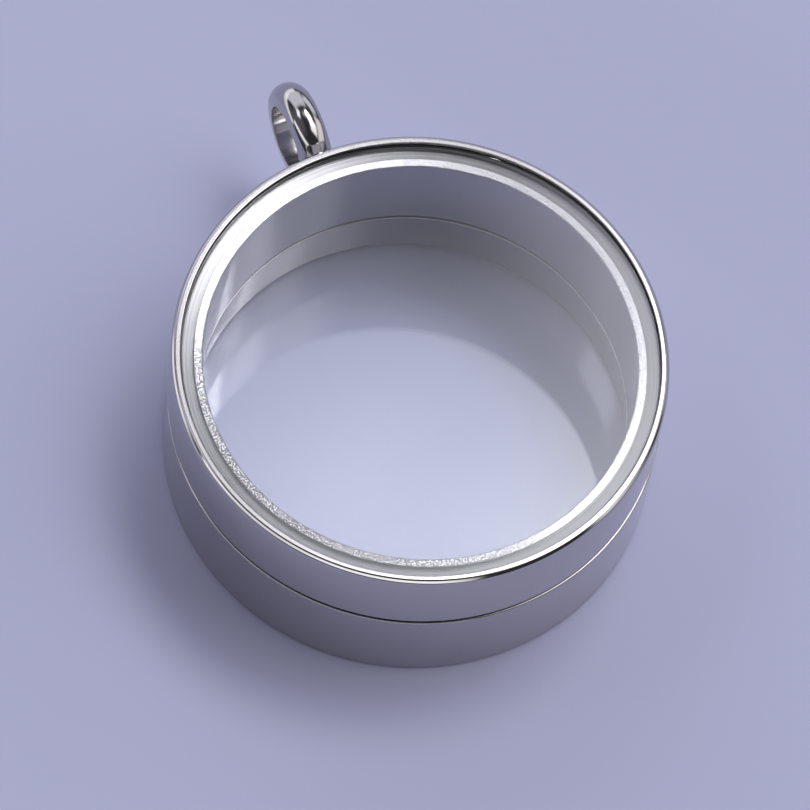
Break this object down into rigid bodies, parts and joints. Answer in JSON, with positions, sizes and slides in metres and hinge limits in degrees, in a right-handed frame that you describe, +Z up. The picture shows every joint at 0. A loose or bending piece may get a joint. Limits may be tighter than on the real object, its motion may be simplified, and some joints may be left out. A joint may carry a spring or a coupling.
{
  "type": "floating locket",
  "caption": "Deep round floating locket in polished steel: a screw-apart case with a clear window in each face and a soldered ring bail.",
  "frame": {"origin": "on the case axis, at the surface that the locket lies on", "axes": "+Z up along the case and screw axis, +Y towards the bail, +X along the bail's hole"},
  "size_m": [0.03, 0.0365, 0.0124],
  "materials": {
    "polished_steel": "polished stainless steel",
    "window_glass": "clear flat glass"
  },
  "bodies": {
    "base": {"lower_case": "polished_steel", "lower_glass": "window_glass"},
    "lid_window": {"upper_glass": "window_glass"},
    "lid": {"upper_case": "polished_steel"}
  },
  "joints": [
    {"name": "lid_lift", "type": "slide", "parent": "base", "child": "lid_window", "axis": [0, 0, 1], "range_m": [0, 0.0015]},
    {"name": "lid_turn", "type": "hinge", "parent": "lid_window", "child": "lid", "pos_m": [0, 0, 0.0067], "axis": [0, 0, 1], "range_deg": [0, 900]}
  ],
  "couplings": [
    {"joint": "lid_lift", "follows": "lid_turn", "m_per_rad": 0.00009549}
  ]
}
